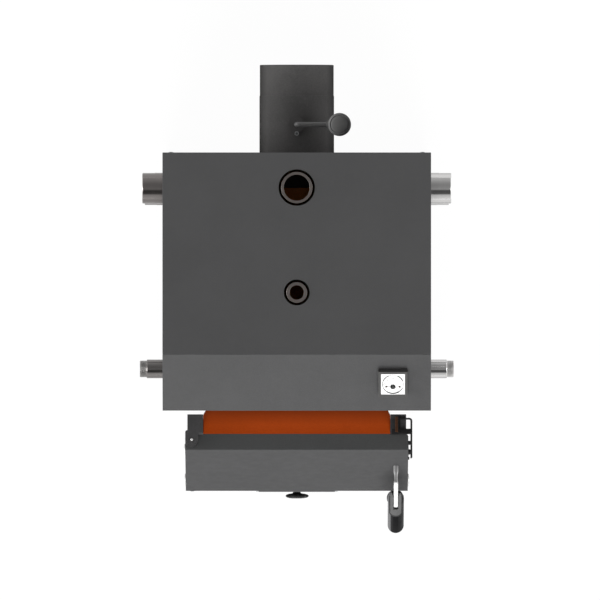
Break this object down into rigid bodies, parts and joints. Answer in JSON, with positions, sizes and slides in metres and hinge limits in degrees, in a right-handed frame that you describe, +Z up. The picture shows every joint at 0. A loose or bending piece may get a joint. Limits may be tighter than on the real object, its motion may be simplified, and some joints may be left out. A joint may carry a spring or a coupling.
{
  "type": "solid fuel boiler",
  "caption": "Free-standing solid fuel boiler with a sloped loading door, a lower ash door with air flap, a rear flue with damper and a gauge on a sloped fascia.",
  "frame": {"origin": "middle of the casing's footprint, on the floor", "axes": "+Z up, the doors face -Y, the flue leaves towards +Y, +X is the handle side"},
  "size_m": [0.6192, 0.9119, 1.083],
  "materials": {
    "casing_paint": "matt dark grey powder coat",
    "fascia_paint": "matt grey powder coat",
    "vessel_paint": "orange heat-proof paint",
    "bright_steel": "bright turned steel",
    "dark_paint": "matt dark heat-proof paint",
    "black_plastic": "moulded black plastic",
    "black_steel": "black oxide",
    "lagging": "mineral wool",
    "cast_iron": "raw cast iron",
    "ash_steel": "plain steel sheet",
    "firebrick": "fired clay",
    "rope": "glass fibre rope",
    "dial_white": "printed white dial"
  },
  "bodies": {
    "boiler": {"base_plate": "dark_paint", "base_rails": "dark_paint", "left_side_panel": "casing_paint", "right_side_panel": "casing_paint", "rear_panel": "casing_paint", "front_upper_panel": "casing_paint", "front_surround": "casing_paint", "fascia_panel": "fascia_paint", "top_cover": "casing_paint", "casing_screws": "bright_steel", "side_lagging": "lagging", "rear_lagging": "lagging", "top_lagging": "lagging", "vessel_floor": "vessel_paint", "side_jackets": "vessel_paint", "chamber_sides": "vessel_paint", "rear_jackets": "vessel_paint", "jacket_stays": "vessel_paint", "vessel_crown": "vessel_paint", "vessel_top_plate": "vessel_paint", "vessel_front_plate": "vessel_paint", "neck_walls": "vessel_paint", "neck_front_panel": "vessel_paint", "side_pipes": "bright_steel", "side_fittings": "bright_steel", "top_flow_pipe": "bright_steel", "top_socket": "bright_steel", "flue_pipe": "dark_paint", "damper_boss": "dark_paint", "inner_ledges": "vessel_paint", "grate": "cast_iron", "firebricks": "firebrick", "smoke_baffle": "cast_iron", "ash_box": "ash_steel", "neck_brackets": "dark_paint", "hinge_pins": "bright_steel", "gauge_housing": "fascia_paint", "gauge_dial": "dial_white", "gauge_sensor": "bright_steel"},
    "loading_door": {"loading_door_pan": "fascia_paint", "loading_door_board": "lagging", "loading_door_shield": "cast_iron", "loading_door_rope": "rope", "loading_door_caps": "bright_steel"},
    "loading_handle": {"loading_handle_lever": "bright_steel", "loading_handle_grip": "black_plastic"},
    "lower_door": {"lower_door_pan": "fascia_paint", "lower_door_board": "lagging", "lower_door_shield": "cast_iron", "lower_door_rope": "rope", "flap_hinge": "bright_steel"},
    "lower_handle": {"lower_handle_lever": "bright_steel", "lower_handle_grip": "black_plastic"},
    "flap": {"air_flap": "dark_paint"},
    "flap_knob": {"star_knob": "black_plastic"},
    "damper": {"damper_plate": "dark_paint", "damper_rod": "dark_paint", "damper_knob": "black_plastic"},
    "needle": {"gauge_needle": "black_plastic"},
    "catch": {"safety_catch": "black_steel"}
  },
  "joints": [
    {"name": "loading_door_hinge", "type": "hinge", "parent": "boiler", "child": "loading_door", "pos_m": [-0.204, -0.31109, 0.90474], "axis": [0, -0.2924, -0.9563], "range_deg": [0, 120]},
    {"name": "loading_handle_turn", "type": "hinge", "parent": "loading_door", "child": "loading_handle", "pos_m": [0.193, -0.32799, 0.79404], "axis": [0, -0.9563, 0.2924], "range_deg": [0, 80]},
    {"name": "lower_door_hinge", "type": "hinge", "parent": "boiler", "child": "lower_door", "pos_m": [-0.204, -0.3842, 0.275], "axis": [0, 0, -1], "range_deg": [0, 120]},
    {"name": "lower_handle_turn", "type": "hinge", "parent": "lower_door", "child": "lower_handle", "pos_m": [0.193, -0.368, 0.3395], "axis": [0, -1, 0], "range_deg": [0, 80]},
    {"name": "air_flap_hinge", "type": "hinge", "parent": "lower_door", "child": "flap", "pos_m": [0, -0.4074, 0.255], "axis": [-1, 0, 0], "range_deg": [0, 50]},
    {"name": "flap_knob_turn", "type": "hinge", "parent": "flap", "child": "flap_knob", "pos_m": [0, -0.4047, 0.19725], "axis": [0, -1, 0], "continuous": true},
    {"name": "flue_damper_turn", "type": "hinge", "parent": "boiler", "child": "damper", "pos_m": [0, 0.305, 0.85], "axis": [0, 0, 1], "range_deg": [0, 90]},
    {"name": "gauge_needle_turn", "type": "hinge", "parent": "boiler", "child": "needle", "pos_m": [0.1863, -0.19798, 1.0471], "axis": [0, 0.5, -0.866], "range_deg": [0, 240]},
    {"name": "safety_catch_turn", "type": "hinge", "parent": "boiler", "child": "catch", "pos_m": [0.2, -0.26444, 0.90616], "axis": [0, 0.2924, 0.9563], "range_deg": [0, 25]}
  ]
}
